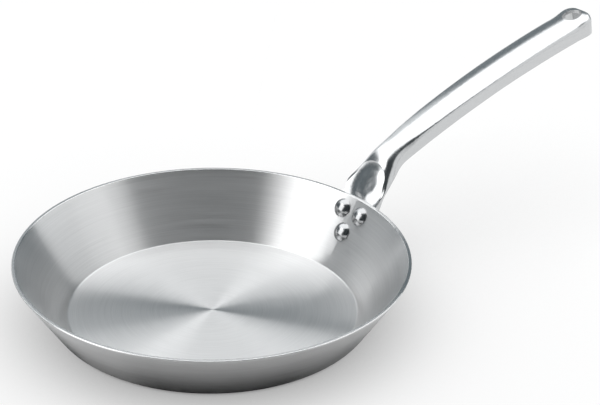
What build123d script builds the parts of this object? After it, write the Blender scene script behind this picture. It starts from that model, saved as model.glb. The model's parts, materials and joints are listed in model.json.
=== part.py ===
from build123d import *
import os
from math import acos, asin, atan2, cos, degrees, hypot, radians, sin, sqrt

# Omelette pan of sheet steel with a pressed steel handle on three rivets.
# Lengths are in millimetres. The pan stands on z = 0, its axis is Z and the
# handle points along +X.

# Pan body
rim_radius = 140.0
pan_height = 45.0
pan_sheet = 2.5
base_radius = 103.0
base_corner_radius = 13.0
rim_rounding = 0.6

# Handle sheet and its rivet plate
handle_sheet = 2.5
plate_margin = 11.2
plate_top = 1.5
plate_top_half_width = 19.0
plate_top_rounding = 4.5

# Rivets
rivet_drop = 12.1
rivet_spacing = 18.6
shank_radius = 3.2
shank_clearance = 0.1
head_radius = 6.9
head_height = 3.9
head_edge = 0.7
tail_radius = 5.6
tail_height = 2.4
tail_rounding = 1.4
seat_depth = 0.8

# Line of the handle's crown: up along the wall, over the knuckle, out along the grip
crown_stand_off = 2.0
neck_length = 26.0
knuckle_radius = 36.0
grip_start_angle = 21.0
grip_end_angle = 9.0
grip_length = 207.1

# Width, depth and roundness of the pressed channel
plate_half_width = 19.0
neck_half_width = 11.6
tip_half_width = 14.3
root_tuck = 0.6
grip_depth = 13.4
tip_depth = 15.7
root_corner_radius = 0.8
knuckle_corner_radius = 8.0
waist_corner_radius = 2.6
tip_corner_radius = 5.8
neck_crown_radius = 400.0
grip_crown_radius = 26.0
tip_crown_radius = 80.0
inner_bend_radius = 0.6
root_overlap = 6.0
hollow_start = 20.0
station_spacing = 10.0
tip_stations = 5
tip_rounding = 7.5
tip_drop_share = 0.15
tip_lift_share = 0.9

# Dished front of the neck
dish_start = 3.0
dish_place = 18.0
dish_depth = 0.4
dish_top_radius = 29.2

# Hanging hole
hole_length = 17.4
hole_width = 13.5
hole_inset = 11.3

# Distance by which cutting bodies run past what they cut
overrun = 5.0

# The wall is the tangent from the rim to the base corner.
wall_run = rim_radius - base_radius
wall_rise = pan_height - base_corner_radius
wall_angle = atan2(wall_rise, wall_run) + asin(base_corner_radius / hypot(wall_run, wall_rise))
wall_cos = cos(wall_angle)
wall_sin = sin(wall_angle)

# Radii across the cone of the wall and across the plate's back, which follows it
across_radius = rim_radius / wall_sin
back_radius = across_radius + handle_sheet


def wall_point(along, outward):
    """Point at azimuth 0, measured up the slope from the rim and out from the outer face."""
    x = rim_radius + along * wall_cos + outward * wall_sin
    z = pan_height + along * wall_sin - outward * wall_cos
    return Vector(x, 0, z)


def flat_point(along, outward):
    """The same point in the sketch plane of the revolved profiles."""
    point = wall_point(along, outward)
    return (point.X, point.Z)


def wall_plane(along, outward, azimuth):
    """Plane on the wall with its normal pointing outward, turned about the pan's axis."""
    origin = wall_point(along, outward)
    across = Vector(0, 1, 0)
    normal = Vector(wall_sin, 0, -wall_cos)
    return Plane(
        origin=origin.rotate(Axis.Z, azimuth),
        x_dir=across.rotate(Axis.Z, azimuth),
        z_dir=normal.rotate(Axis.Z, azimuth),
    )


def cone_between(inner, outer, bottom, top):
    """Ring between two cones parallel to the wall, cut level at two heights."""
    def radius_at(height, outward):
        along = (height - pan_height + outward * wall_cos) / wall_sin
        return rim_radius + along * wall_cos + outward * wall_sin

    corners = [
        (radius_at(bottom, outer), bottom),
        (radius_at(top, outer), top),
    ]
    if inner is None:
        corners += [(0, top), (0, bottom)]
    else:
        corners += [(radius_at(top, inner), top), (radius_at(bottom, inner), bottom)]
    profile = make_face(Polyline(*corners, close=True))
    return revolve(Plane.XZ * profile, Axis.Z)


# Rivet places

def rivet_places():
    """Name, distance along the slope and azimuth of each rivet."""
    pair_along = -rivet_drop
    lower_along = pair_along - rivet_spacing * sqrt(3) / 2
    pair_radius = wall_point(pair_along, 0).X
    turn = degrees(asin(rivet_spacing / 2 / pair_radius))
    return [
        ("rivet_left", pair_along, turn),
        ("rivet_right", pair_along, -turn),
        ("rivet_lower", lower_along, 0),
    ]


def rivet_holes():
    """Bores through the wall and the handle's plate."""
    radius = shank_radius + shank_clearance
    length = pan_sheet + handle_sheet + 2 * overrun
    holes = []
    for name, along, azimuth in rivet_places():
        start = wall_plane(along, -pan_sheet - overrun, azimuth)
        holes.append(extrude(start * Circle(radius), length))
    return holes


# Pan body

def pan_body():
    """Spun sheet with a flat base, a rounded corner and a straight flared wall."""
    inner_corner = base_corner_radius - pan_sheet
    turn = degrees(wall_angle)
    rim_inner = rim_radius - pan_sheet / wall_sin
    outer_corner = JernArc((base_radius, 0), (1, 0), base_corner_radius, turn)
    inner_arc = JernArc((base_radius, pan_sheet), (1, 0), inner_corner, turn)
    edges = [
        Line((0, 0), (base_radius, 0)),
        outer_corner,
        Line(outer_corner @ 1, (rim_radius, pan_height)),
        Line((rim_radius, pan_height), (rim_inner, pan_height)),
        Line((rim_inner, pan_height), inner_arc @ 1),
        inner_arc,
        Line((base_radius, pan_sheet), (0, pan_sheet)),
        Line((0, pan_sheet), (0, 0)),
    ]
    profile = make_face(edges)
    top = profile.vertices().sort_by(Axis.Y)[-2:]
    profile = fillet(top, rim_rounding)
    body = revolve(Plane.XZ * profile, Axis.Z)
    return body - rivet_holes()


# Handle

def crown_line():
    """Centre line of the handle's top side, from below the rim to the tip."""
    start = flat_point(-root_overlap, -crown_stand_off)
    knee = flat_point(neck_length, -crown_stand_off)
    neck = Line(start, knee)
    knuckle_turn = degrees(wall_angle) - grip_start_angle
    knuckle = JernArc(knee, neck % 1, knuckle_radius, -knuckle_turn)
    grip_turn = grip_start_angle - grip_end_angle
    grip_radius = grip_length / radians(grip_turn)
    grip = JernArc(knuckle @ 1, knuckle % 1, grip_radius, -grip_turn)
    return Plane.XZ * Wire([neck, knuckle, grip])


def station_plane(line, distance):
    """Plane square to the crown line, with its local x across the handle."""
    share = distance / line.length
    return Plane(origin=line @ share, x_dir=(0, 1, 0), z_dir=line % share)


def channel_section(half_width, roof, floor, corner, crown):
    """Arched section with rounded shoulders, from roof down to floor."""
    corner_x = half_width - corner
    corner_y = roof - crown + sqrt((crown - corner) ** 2 - corner_x ** 2)
    lean = atan2(corner_y - roof + crown, corner_x)
    shoulder = (corner_x + corner * cos(lean), corner_y + corner * sin(lean))
    middle = (corner_x + corner * cos(lean / 2), corner_y + corner * sin(lean / 2))
    side = (half_width, corner_y)
    foot = (half_width, floor + back_radius - sqrt(back_radius ** 2 - half_width ** 2))

    def mirrored(point):
        return (-point[0], point[1])

    edges = [
        ThreePointArc(mirrored(shoulder), (0, roof), shoulder),
        ThreePointArc(shoulder, middle, side),
        Line(side, foot),
        ThreePointArc(foot, (0, floor), mirrored(foot)),
        Line(mirrored(foot), mirrored(side)),
        ThreePointArc(mirrored(side), mirrored(middle), mirrored(shoulder)),
    ]
    return make_face(edges)


def mix(first, second, share):
    return first + (second - first) * share


def handle_sizes(line):
    """Rows of distance, half width, depth, corner radius, crown radius and roof thickness."""
    knuckle_length = knuckle_radius * (wall_angle - radians(grip_start_angle))
    neck_end = root_overlap + neck_length
    grip_start = neck_end + knuckle_length
    front = crown_stand_off + handle_sheet
    root_depth = front - root_tuck
    rows = []

    # Up the neck: shares of place, width, depth, corner, crown and dish
    neck_shares = [
        (0.00, 0.96, 0.00, 0.00, 0.00, 0.0),
        (0.27, 0.98, 0.11, 0.10, 0.50, 0.2),
        (0.55, 0.93, 0.17, 0.14, 0.85, 0.7),
        (0.80, 0.74, 0.39, 0.35, 0.94, 1.0),
        (1.00, 0.42, 0.72, 0.90, 0.95, 0.4),
    ]
    for place, width, depth, corner, crown, dish in neck_shares:
        rows.append((
            place * neck_end,
            mix(neck_half_width, plate_half_width, width),
            mix(root_depth, grip_depth, depth),
            mix(root_corner_radius, knuckle_corner_radius, corner),
            mix(neck_crown_radius, grip_crown_radius, crown),
            front + dish * dish_depth,
        ))

    # Out along the grip: shares of place, width, waist corner, tip and flat land round the hole
    grip_shares = [
        (0.00, 0.00, 0.0, 0.00, 0.0),
        (0.08, 0.07, 0.6, 0.00, 0.0),
        (0.20, 0.27, 1.0, 0.00, 0.0),
        (0.45, 0.71, 1.0, 0.05, 0.0),
        (0.70, 0.89, 1.0, 0.45, 0.0),
        (0.91, 0.91, 1.0, 0.85, 0.0),
        (0.97, 1.00, 1.0, 0.97, 0.9),
        (1.00, 1.00, 1.0, 1.00, 1.0),
    ]
    for place, width, waist, tip, land in grip_shares:
        corner = mix(knuckle_corner_radius, waist_corner_radius, waist)
        rows.append((
            mix(grip_start, line.length, place),
            mix(neck_half_width, tip_half_width, width),
            mix(grip_depth, tip_depth, tip),
            mix(corner, tip_corner_radius, tip),
            mix(grip_crown_radius, tip_crown_radius, land),
            handle_sheet,
        ))
    return rows


def steepness(before, after):
    """Slope at a row, from the slopes on its two sides, level at a turning point."""
    if before * after <= 0:
        return 0
    return 2 * before * after / (before + after)


def smooth_rows(rows, distances):
    """Values at each distance, on smooth curves through the rows that never overshoot."""
    columns = list(zip(*rows))
    places = columns[0]
    spans = [after - before for before, after in zip(places, places[1:])]
    result = [[distance] for distance in distances]
    for values in columns[1:]:
        chords = [(b - a) / span for a, b, span in zip(values, values[1:], spans)]
        inner = [steepness(before, after) for before, after in zip(chords, chords[1:])]
        slopes = [chords[0]] + inner + [chords[-1]]
        for row in result:
            last = max(i for i in range(len(spans)) if i == 0 or places[i] <= row[0])
            span = spans[last]
            t = (row[0] - places[last]) / span
            rise = values[last + 1] - values[last]
            start = slopes[last] * span
            end = slopes[last + 1] * span
            curve = (3 * rise - 2 * start - end) + (start + end - 2 * rise) * t
            row.append(values[last] + start * t + curve * t * t)
    return result


def rounding_inset(distance, end, radius):
    """How far a rounded end has drawn in at a distance along the crown line."""
    past = max(distance - (end - radius), 0)
    return radius - sqrt(radius ** 2 - min(past, radius) ** 2)


def channel_stations(line, first, sheet):
    """Even stations along the crown line, then a quarter turn of them round the tip."""
    end = line.length - sheet
    radius = tip_rounding - sheet
    straight_end = end - radius
    count = round((straight_end - first) / station_spacing)
    distances = [mix(first, straight_end, i / count) for i in range(count + 1)]
    quarter = radians(90)
    turns = [quarter * i / tip_stations for i in range(1, tip_stations + 1)]
    distances += [straight_end + radius * sin(turn) for turn in turns]
    return [
        (row, rounding_inset(row[0], end, radius))
        for row in smooth_rows(handle_sizes(line), distances)
    ]


def handle_blank(line):
    """Outer form of the pressed channel, still solid."""
    sections = []
    for row, inset in channel_stations(line, 0, 0):
        distance, half_width, depth, corner, crown, thickness = row
        width = half_width - inset
        roof = -inset * tip_drop_share
        floor = -depth + inset * tip_lift_share
        corner *= width / (width + inset)
        section = channel_section(width, roof, floor, corner, crown)
        sections.append(station_plane(line, distance) * section)
    return loft(sections)


def handle_hollow(line):
    """Space below the crown and between the skirts, open downwards."""
    sections = []
    for row, inset in channel_stations(line, root_overlap + hollow_start, handle_sheet):
        distance, half_width, depth, corner, crown, thickness = row
        width = half_width - handle_sheet - inset
        roof = -thickness - inset * tip_drop_share
        corner = max(corner - handle_sheet, inner_bend_radius) * width / (width + inset)
        section = channel_section(width, roof, -depth - overrun, corner, crown - handle_sheet)
        sections.append(station_plane(line, distance) * section)
    return loft(sections)


def rivet_plate():
    """Plate outlined round the three rivets, its back on the wall's cone and its front still thick."""
    half = rivet_spacing / 2
    pair_along = -rivet_drop
    lower_along = pair_along - rivet_spacing * sqrt(3) / 2
    top_half = plate_top_half_width - plate_top_rounding
    circles = [
        Pos(half, pair_along) * Circle(plate_margin),
        Pos(-half, pair_along) * Circle(plate_margin),
        Pos(0, lower_along) * Circle(plate_margin),
        Pos(top_half, plate_top - plate_top_rounding) * Circle(plate_top_rounding),
        Pos(-top_half, plate_top - plate_top_rounding) * Circle(plate_top_rounding),
    ]
    outline = make_hull([circle.edge() for circle in circles])
    blank = extrude(wall_plane(0, -overrun, 0) * outline, handle_sheet + 2 * overrun)
    bottom = wall_point(lower_along - plate_margin - overrun, 0).Z
    top = wall_point(plate_top + overrun, 0).Z
    return blank & cone_between(None, handle_sheet, bottom, top)


def dish_cutter():
    """Barrel that presses a shallow dish into the front of the neck."""
    reach = dish_place - dish_start
    low_radius = (reach ** 2 + dish_depth ** 2) / (2 * dish_depth)
    low_turn = asin((reach + overrun) / low_radius)
    top_turn = acos(1 - (dish_depth + overrun) / dish_top_radius)

    def on_arc(radius, turn):
        along = dish_place + radius * sin(turn)
        return flat_point(along, dish_depth - radius * (1 - cos(turn)))

    start = on_arc(low_radius, -low_turn)
    deepest = on_arc(low_radius, 0)
    end = on_arc(dish_top_radius, top_turn)
    start_along = dish_place - low_radius * sin(low_turn)
    end_along = dish_place + dish_top_radius * sin(top_turn)
    start_centre = flat_point(start_along, -across_radius)
    end_centre = flat_point(end_along, -across_radius)
    edges = [
        ThreePointArc(start, on_arc(low_radius, -low_turn / 2), deepest),
        ThreePointArc(deepest, on_arc(dish_top_radius, top_turn / 2), end),
        Line(end, end_centre),
        Line(end_centre, start_centre),
        Line(start_centre, start),
    ]
    axis = Axis(wall_point(0, -across_radius), (wall_cos, 0, wall_sin))
    return revolve(Plane.XZ * make_face(edges), axis)


def hanging_hole(line):
    """Oval cutter through the crown near the tip."""
    place = station_plane(line, line.length - hole_inset)
    across = Plane(origin=place.origin, x_dir=place.z_dir, z_dir=-place.y_dir)
    start = across.offset(-overrun)
    return extrude(start * Ellipse(hole_length / 2, hole_width / 2), 2 * overrun + handle_sheet)


def handle():
    """Pressed channel whose neck thickens into the plate that is riveted to the wall."""
    line = crown_line()
    channel = handle_blank(line) - handle_hollow(line)
    wall_front = cone_between(None, 0, 0, wall_point(dish_place, 0).Z)
    body = channel + rivet_plate() - wall_front - dish_cutter()
    return body - hanging_hole(line) - rivet_holes()


# Rivets

def rivet(along, azimuth):
    """Domed head inside the pan, shank through both sheets and a formed tail outside."""
    dome_radius = (head_radius ** 2 + (head_height - head_edge) ** 2) / (2 * (head_height - head_edge))
    grip = pan_sheet + handle_sheet
    top = -pan_sheet - head_height
    edge_top = -pan_sheet - head_edge
    dome_turn = asin(head_radius / dome_radius)
    middle = (dome_radius * sin(dome_turn / 2), top + dome_radius * (1 - cos(dome_turn / 2)))
    tail_end = handle_sheet + tail_height
    profile = make_face([
        ThreePointArc((0, top), middle, (head_radius, edge_top)),
        Line((head_radius, edge_top), (head_radius, -pan_sheet + seat_depth)),
        Line((head_radius, -pan_sheet + seat_depth), (shank_radius, -pan_sheet + seat_depth)),
        Line((shank_radius, -pan_sheet + seat_depth), (shank_radius, handle_sheet - seat_depth)),
        Line((shank_radius, handle_sheet - seat_depth), (tail_radius, handle_sheet - seat_depth)),
        Line((tail_radius, handle_sheet - seat_depth), (tail_radius, tail_end)),
        Line((tail_radius, tail_end), (0, tail_end)),
        Line((0, tail_end), (0, top)),
    ])
    corner = profile.vertices().sort_by(Axis.Y)[-2:].sort_by(Axis.X)[-1]
    profile = fillet(corner, tail_rounding)
    place = wall_plane(along, 0, azimuth)
    upright = Plane(origin=place.origin, x_dir=place.x_dir, z_dir=-place.y_dir)
    solid = revolve(upright * profile, Axis(place.origin, place.z_dir))
    bottom = wall_point(along - head_radius - overrun, 0).Z
    top_height = wall_point(along + head_radius + overrun, 0).Z
    shank_area = extrude(place.offset(-overrun) * Circle(shank_radius), grip + 2 * overrun)
    sheets = cone_between(-pan_sheet, handle_sheet, bottom, top_height)
    return solid - (sheets - shank_area)


os.makedirs("parts", exist_ok=True)
export_step(pan_body(), "parts/pan_body.step")
export_step(handle(), "parts/handle.step")
for name, along, azimuth in rivet_places():
    export_step(rivet(along, azimuth), f"parts/{name}.step")
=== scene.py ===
import json
from math import cos, pi, radians, sin, tan

import bpy
from mathutils import Matrix, Vector

# Omelette pan of brushed steel with a polished handle, on a pale floor.
# Lengths are in metres, in the part's own frame: the pan stands on z = 0 and
# the handle points along +X. Angles are in degrees, and a scale is a number
# of grains in a metre.

# Camera
camera_distance = 1.56
camera_azimuth = 231.35
camera_elevation = 30.325
camera_yaw = -2.3
camera_pitch = 2.84
camera_roll = 0.546
camera_lens = 132.0

# Floor
floor_size = 40.0
floor_colour = (0.86, 0.86, 0.86)
floor_glow = 0.90
floor_glow_mirrored = 0.5
# The floor's shadow is painted from the pan's occlusion: its samples, and its reach and depth as the
# camera sees it and as the pan mirrors it
shadow_samples = 16
shadow_reach_shown = 0.16
shadow_reach_mirrored = 0.035
shadow_depth_shown = 0.5
shadow_depth_mirrored = 3.0

# Room and lamps
lamp_distance = 3.0
room_colour = (0.78, 0.92, 1.0)
room_front = 0.06
room_back = 0.26
room_front_begins = 0.6

# Noise: most of its values lie between these two
noise_low = 0.3
noise_high = 0.7

# Brushed pan
pan_colour = (0.64, 0.64, 0.64)
pan_tint = 0.07
pan_roughness = (0.28, 0.36)
pan_anisotropy = 1.0
groove_turn = 0.25
coarse_scale = 900.0
coarse_arcs = 1.0
coarse_share = 0.35
fine_scale = 4000.0
fine_arcs = 2.0
groove_detail = 2.0
groove_strength = 0.4
groove_depth = 0.00001
rim_polished = 0.0006
rim_smoothness = 0.6

# Corner between floor and wall: the wall's slope, and the radii and height of the turn
wall_angle = 56.27
corner_start = 0.1008
corner_end = 0.1036
corner_top = 0.0073
least_upward = 0.3

# Polished handle and rivets
handle_colour = (0.60, 0.605, 0.61)
handle_roughness = 0.21
# The rivets are the handle's steel in a darker colour: painted shade that dims the reflections on their
# domes
rivet_shaded_colour = (0.45, 0.455, 0.46)
rivet_roughness = 0.2
roughness_spread = 0.15
polish_tint = 0.02
marks_scale = (60.0, 900.0, 900.0)
marks_detail = 3.0
marks_strength = 0.1
marks_depth = 0.00002

# Swelling on the neck: its middle along y and z
neck_middle = (-0.003, 0.0545)
neck_reach = 0.0105
neck_swell = 0.0026
neck_waves = 0.0004
waves_scale = 110.0
waves_detail = 1.0


def put(tree, socket, value):
    """Links a socket to another node's output, or sets its value."""
    if isinstance(value, bpy.types.NodeSocket):
        tree.links.new(value, socket)
    else:
        socket.default_value = value


def node(tree, kind, **values):
    """New shader node with its inputs linked or set by name."""
    made = tree.nodes.new(kind)
    for name, value in values.items():
        put(tree, made.inputs[name.replace("_", " ")], value)
    return made


def math_node(tree, operation, *values):
    made = tree.nodes.new("ShaderNodeMath")
    made.operation = operation
    for socket, value in zip(made.inputs, values):
        put(tree, socket, value)
    return made.outputs[0]


def vector_node(tree, operation, *values):
    made = tree.nodes.new("ShaderNodeVectorMath")
    made.operation = operation
    for socket, value in zip(made.inputs, values):
        put(tree, socket, value)
    return made


def apart(tree, vector):
    """The X, Y and Z of a vector."""
    return node(tree, "ShaderNodeSeparateXYZ", Vector=vector).outputs


def object_place(tree):
    """Place on the part, in the part's own frame."""
    return tree.nodes.new("ShaderNodeTexCoord").outputs["Object"]


def from_share(tree, share, at_none, at_full):
    """Value carried from one amount to another as a share goes from nought to one."""
    made = node(tree, "ShaderNodeMapRange", Value=share, To_Min=at_none, To_Max=at_full)
    return made.outputs["Result"]


def from_noise(tree, noise, low, high):
    """Value carried over a range by the usual values of a noise."""
    made = node(
        tree,
        "ShaderNodeMapRange",
        Value=noise,
        From_Min=noise_low,
        From_Max=noise_high,
        To_Min=low,
        To_Max=high,
    )
    return made.outputs["Result"]


def smoothly(tree, value, low, high, at_low, at_high):
    """Value carried smoothly from one amount to another over a range."""
    made = node(
        tree,
        "ShaderNodeMapRange",
        Value=value,
        From_Min=low,
        From_Max=high,
        To_Min=at_low,
        To_Max=at_high,
    )
    made.interpolation_type = "SMOOTHSTEP"
    return made.outputs["Result"]


def tinted(tree, colour, shade):
    """A colour multiplied by a grey value."""
    made = vector_node(tree, "SCALE", colour)
    put(tree, made.inputs["Scale"], shade)
    return made.outputs[0]


def new_material(name):
    material = bpy.data.materials.new(name)
    material.use_nodes = True
    material.node_tree.nodes.clear()
    return material, material.node_tree


def put_out(tree, surface):
    """Makes a shader the surface of its material."""
    output = tree.nodes.new("ShaderNodeOutputMaterial")
    tree.links.new(surface, output.inputs["Surface"])


def metal(tree, colour, roughness, normal, **more):
    """Metal surface with this colour, roughness and shading normal."""
    shader = node(
        tree,
        "ShaderNodeBsdfPrincipled",
        Base_Color=colour,
        Metallic=1.0,
        Roughness=roughness,
        Normal=normal,
        **more,
    )
    put_out(tree, shader.outputs[0])


def round_axis(tree, place):
    """Distance from the pan's axis, and the X, Y and Z of the direction away from it."""
    flat = vector_node(tree, "MULTIPLY", place, (1, 1, 0)).outputs[0]
    radius = vector_node(tree, "LENGTH", flat).outputs["Value"]
    direction = vector_node(tree, "NORMALIZE", flat).outputs[0]
    return radius, apart(tree, direction)


def ring_noise(tree, radius, direction, across, around):
    """Noise in long arcs round the axis, with its scales across the arcs and around them."""
    vector = node(
        tree,
        "ShaderNodeCombineXYZ",
        X=math_node(tree, "MULTIPLY", radius, across),
        Y=math_node(tree, "MULTIPLY", direction["X"], around),
        Z=math_node(tree, "MULTIPLY", direction["Y"], around),
    )
    noise = node(
        tree,
        "ShaderNodeTexNoise",
        Vector=vector.outputs[0],
        Scale=1.0,
        Detail=groove_detail,
    )
    return noise.outputs["Fac"]


def crisp_corner(tree, radius, direction, height):
    """Shading normal that turns from floor to wall over a short way inside the pan."""
    turn = smoothly(tree, radius, corner_start, corner_end, 0.0, radians(wall_angle))
    inward = math_node(tree, "MULTIPLY", math_node(tree, "SINE", turn), -1.0)
    turned = node(
        tree,
        "ShaderNodeCombineXYZ",
        X=math_node(tree, "MULTIPLY", direction["X"], inward),
        Y=math_node(tree, "MULTIPLY", direction["Y"], inward),
        Z=math_node(tree, "COSINE", turn),
    )
    true_normal = tree.nodes.new("ShaderNodeNewGeometry").outputs["Normal"]
    upward = apart(tree, true_normal)["Z"]
    faces_up = math_node(tree, "GREATER_THAN", upward, least_upward)
    low = math_node(tree, "LESS_THAN", height, corner_top)
    # Inputs 4 and 5 and output 1 are this node's vector sockets
    chosen = tree.nodes.new("ShaderNodeMix")
    chosen.data_type = "VECTOR"
    tree.links.new(math_node(tree, "MULTIPLY", faces_up, low), chosen.inputs[0])
    tree.links.new(true_normal, chosen.inputs[4])
    tree.links.new(turned.outputs[0], chosen.inputs[5])
    return chosen.outputs[1]


def brushed_steel():
    """Steel brushed in circles: fine grooves round the axis that spread light outwards and up."""
    material, tree = new_material("brushed_steel")
    place = object_place(tree)
    height = apart(tree, place)["Z"]
    radius, direction = round_axis(tree, place)
    coarse = ring_noise(tree, radius, direction, coarse_scale, coarse_arcs)
    fine = ring_noise(tree, radius, direction, fine_scale, fine_arcs)
    grain = math_node(
        tree,
        "ADD",
        math_node(tree, "MULTIPLY", coarse, coarse_share),
        math_node(tree, "MULTIPLY", fine, 1 - coarse_share),
    )
    grooves = node(
        tree,
        "ShaderNodeBump",
        Height=grain,
        Strength=groove_strength,
        Distance=groove_depth,
        Normal=crisp_corner(tree, radius, direction, height),
    )
    edge = smoothly(tree, height, rim_top - rim_polished, rim_top - rim_polished / 2, 0.0, 1.0)
    rim_polish = from_share(tree, edge, 1.0, rim_smoothness)
    tangent = tree.nodes.new("ShaderNodeTangent")
    tangent.direction_type = "RADIAL"
    tangent.axis = "Z"
    metal(
        tree,
        tinted(tree, pan_colour, from_noise(tree, grain, 1 - pan_tint, 1 + pan_tint)),
        math_node(tree, "MULTIPLY", from_noise(tree, fine, *pan_roughness), rim_polish),
        grooves.outputs[0],
        Anisotropic=pan_anisotropy,
        Anisotropic_Rotation=groove_turn,
        Tangent=tangent.outputs[0],
    )
    return material


def neck_relief(tree, place):
    """Height in metres of the swelling pressed into the neck of the handle, with its small waves."""
    at = apart(tree, place)
    across, along = (
        math_node(tree, "DIVIDE", math_node(tree, "SUBTRACT", at[axis], middle), neck_reach)
        for axis, middle in zip("YZ", neck_middle)
    )
    square = math_node(
        tree,
        "ADD",
        math_node(tree, "MULTIPLY", along, along),
        math_node(tree, "MULTIPLY", across, across),
    )
    fade = math_node(tree, "POWER", 0.5, math_node(tree, "MULTIPLY", square, square))
    waves = node(
        tree,
        "ShaderNodeTexNoise",
        Vector=place,
        Scale=waves_scale,
        Detail=waves_detail,
    )
    uneven = math_node(tree, "MULTIPLY", waves.outputs["Fac"], neck_waves)
    return math_node(tree, "MULTIPLY", fade, math_node(tree, "ADD", uneven, neck_swell))


def polished_steel(name, colour, roughness, relief=None):
    """Polished steel with faint buffing marks, over a larger relief where one is given."""
    material, tree = new_material(name)
    place = object_place(tree)
    stretched = node(tree, "ShaderNodeMapping", Vector=place, Scale=marks_scale)
    noise = node(
        tree,
        "ShaderNodeTexNoise",
        Vector=stretched.outputs[0],
        Scale=1.0,
        Detail=marks_detail,
    )
    marks = noise.outputs["Fac"]
    bump = node(
        tree,
        "ShaderNodeBump",
        Height=marks,
        Strength=marks_strength,
        Distance=marks_depth,
    )
    if relief is not None:
        height = relief(tree, place)
        large = node(tree, "ShaderNodeBump", Height=height, Strength=1.0, Distance=1.0)
        tree.links.new(large.outputs[0], bump.inputs["Normal"])
    smoother = roughness * (1 - roughness_spread)
    rougher = roughness * (1 + roughness_spread)
    metal(
        tree,
        tinted(tree, colour, from_noise(tree, marks, 1 - polish_tint, 1 + polish_tint)),
        from_noise(tree, marks, smoother, rougher),
        bump.outputs[0],
    )
    return material


def shown_ray(tree):
    """One for the camera, and for reflections and refractions of the background."""
    path = tree.nodes.new("ShaderNodeLightPath").outputs
    shown = math_node(tree, "MAXIMUM", path["Is Camera Ray"], path["Is Glossy Ray"])
    return math_node(tree, "MAXIMUM", shown, path["Is Transmission Ray"])


def floor_material():
    """Pale matt floor with a painted shadow: the pan's occlusion darkens its colour and glow, lightly
    as the camera sees it and deeper where the pan mirrors the floor close to it.
    """
    material, tree = new_material("pale_floor")
    seen = tree.nodes.new("ShaderNodeLightPath").outputs["Is Camera Ray"]
    reach = from_share(tree, seen, shadow_reach_mirrored, shadow_reach_shown)
    depth = from_share(tree, seen, shadow_depth_mirrored, shadow_depth_shown)
    shade = node(tree, "ShaderNodeAmbientOcclusion", Distance=reach)
    shade.samples = shadow_samples
    # Painted shadow: the share of the floor that the pan leaves open darkens the floor's matt colour
    # and its glow
    open_share = math_node(tree, "POWER", shade.outputs["AO"], depth)
    matt = node(tree, "ShaderNodeBsdfDiffuse", Color=tinted(tree, floor_colour, open_share))
    glow = node(tree, "ShaderNodeEmission", Color=(1, 1, 1, 1), Strength=open_share)
    glow_share = from_share(tree, seen, floor_glow_mirrored, floor_glow)
    mixed = tree.nodes.new("ShaderNodeMixShader")
    tree.links.new(math_node(tree, "MULTIPLY", shown_ray(tree), glow_share), mixed.inputs[0])
    tree.links.new(matt.outputs[0], mixed.inputs[1])
    tree.links.new(glow.outputs[0], mixed.inputs[2])
    put_out(tree, mixed.outputs[0])
    return material


def make_floor():
    half = floor_size / 2
    mesh = bpy.data.meshes.new("floor")
    outline = [(-half, -half, 0), (half, -half, 0), (half, half, 0), (-half, half, 0)]
    mesh.from_pydata(outline, [], [(0, 1, 2, 3)])
    mesh.materials.append(floor_material())
    floor = bpy.data.objects.new("floor", mesh)
    bpy.context.scene.collection.objects.link(floor)


def make_world():
    """Soft bluish room, darker on the camera's side."""
    world = bpy.data.worlds.new("studio")
    world.use_nodes = True
    tree = world.node_tree
    tree.nodes.clear()
    direction = tree.nodes.new("ShaderNodeTexCoord").outputs["Generated"]
    turn = (0, 0, radians(-camera_azimuth))
    turned = node(tree, "ShaderNodeMapping", Vector=direction, Rotation=turn)
    spread = node(
        tree,
        "ShaderNodeMapRange",
        Value=apart(tree, turned.outputs[0])["X"],
        From_Min=-1.0,
        From_Max=room_front_begins,
        To_Min=room_back,
        To_Max=room_front,
    )
    background = node(
        tree,
        "ShaderNodeBackground",
        Color=(*room_colour, 1),
        Strength=spread.outputs["Result"],
    )
    output = tree.nodes.new("ShaderNodeOutputWorld")
    tree.links.new(background.outputs[0], output.inputs["Surface"])
    bpy.context.scene.world = world


def aimed_from(azimuth, elevation, distance):
    """Place and axes of something that looks at the frame's origin from this azimuth."""
    a = radians(azimuth)
    e = radians(elevation)
    place = Vector((cos(e) * cos(a), cos(e) * sin(a), sin(e))) * distance
    back = place.normalized()
    right = Vector((-sin(a), cos(a), 0))
    up = back.cross(right)
    turn = Matrix((right, up, back)).transposed()
    return Matrix.Translation(place) @ turn.to_4x4()


def area_lamp(name, place, width, height, radiance):
    """Rectangular lamp whose face has this radiance."""
    lamp = bpy.data.lights.new(name, "AREA")
    lamp.shape = "RECTANGLE"
    lamp.size = width
    lamp.size_y = height
    lamp.energy = radiance * width * height * pi
    made = bpy.data.objects.new(name, lamp)
    made.matrix_world = place
    bpy.context.scene.collection.objects.link(made)


def softbox(name, bearing, elevation, width, height, radiance):
    """Lamp turned to the pan. Its bearing is clockwise from straight behind the pan, as the
    camera sees it, and its size is given by the angles that it fills."""
    place = aimed_from(camera_azimuth - 180 - bearing, elevation, lamp_distance)
    across = 2 * lamp_distance * tan(radians(width / 2))
    upright = 2 * lamp_distance * tan(radians(height / 2))
    area_lamp(name, place, across, upright, radiance)


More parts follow.
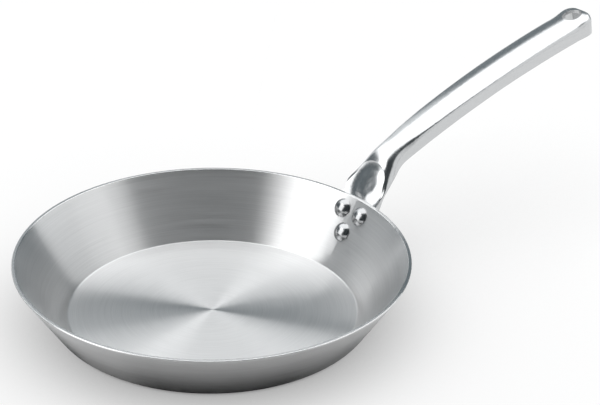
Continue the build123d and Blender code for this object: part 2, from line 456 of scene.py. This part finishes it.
def ceiling(name, left, right, near, far, radiance):
    """Level lamp over the pan, with its reach to each side in lamp distances."""
    middle = Vector(((right - left) / 2, (far - near) / 2, 1)) * lamp_distance
    turn = Matrix.Rotation(radians(camera_azimuth + 90), 4, "Z")
    across = lamp_distance * (left + right)
    deep = lamp_distance * (near + far)
    area_lamp(name, turn @ Matrix.Translation(middle), across, deep, radiance)


def make_camera():
    data = bpy.data.cameras.new("camera")
    data.lens = camera_lens
    camera = bpy.data.objects.new("camera", data)
    place = aimed_from(camera_azimuth, camera_elevation, camera_distance)
    turns = ((camera_yaw, "Y"), (camera_pitch, "X"), (-camera_roll, "Z"))
    for angle, axis in turns:
        place = place @ Matrix.Rotation(radians(angle), 4, axis)
    camera.matrix_world = place
    bpy.context.scene.collection.objects.link(camera)
    bpy.context.scene.camera = camera


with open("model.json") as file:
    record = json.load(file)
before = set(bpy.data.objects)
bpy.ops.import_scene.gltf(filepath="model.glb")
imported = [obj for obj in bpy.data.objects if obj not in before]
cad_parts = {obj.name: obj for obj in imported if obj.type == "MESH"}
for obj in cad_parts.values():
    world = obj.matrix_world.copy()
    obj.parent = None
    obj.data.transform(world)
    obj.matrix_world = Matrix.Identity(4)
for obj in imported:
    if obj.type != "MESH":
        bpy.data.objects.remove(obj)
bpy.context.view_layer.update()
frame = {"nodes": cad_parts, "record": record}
rim_top = max(corner[2] for corner in frame["nodes"]["pan_body"].bound_box)

bpy.context.scene.view_settings.view_transform = "Standard"
materials = {
    "pan_steel": brushed_steel(),
    "handle_steel": polished_steel(
        "polished_handle", handle_colour, handle_roughness, neck_relief
    ),
    # Rivet steel with painted shade in its darker colour
    "rivet_steel": polished_steel("polished_rivet_shaded", rivet_shaded_colour, rivet_roughness),
}
slot_of = {part["node"]: part["material_slot"] for part in frame["record"]["subparts"]}
for name, part in frame["nodes"].items():
    part.data.materials.clear()
    part.data.materials.append(materials[slot_of[name]])

make_floor()
make_world()
ceiling("overhead", left=1.2, right=1.2, near=0.22, far=1.3, radiance=1.75)
softbox("left_front", bearing=-109, elevation=29, width=42, height=58, radiance=1.95)
softbox("right_side", bearing=90, elevation=21, width=68, height=38, radiance=0.9)
softbox("left_back", bearing=-25, elevation=19, width=27, height=34, radiance=0.75)
make_camera()
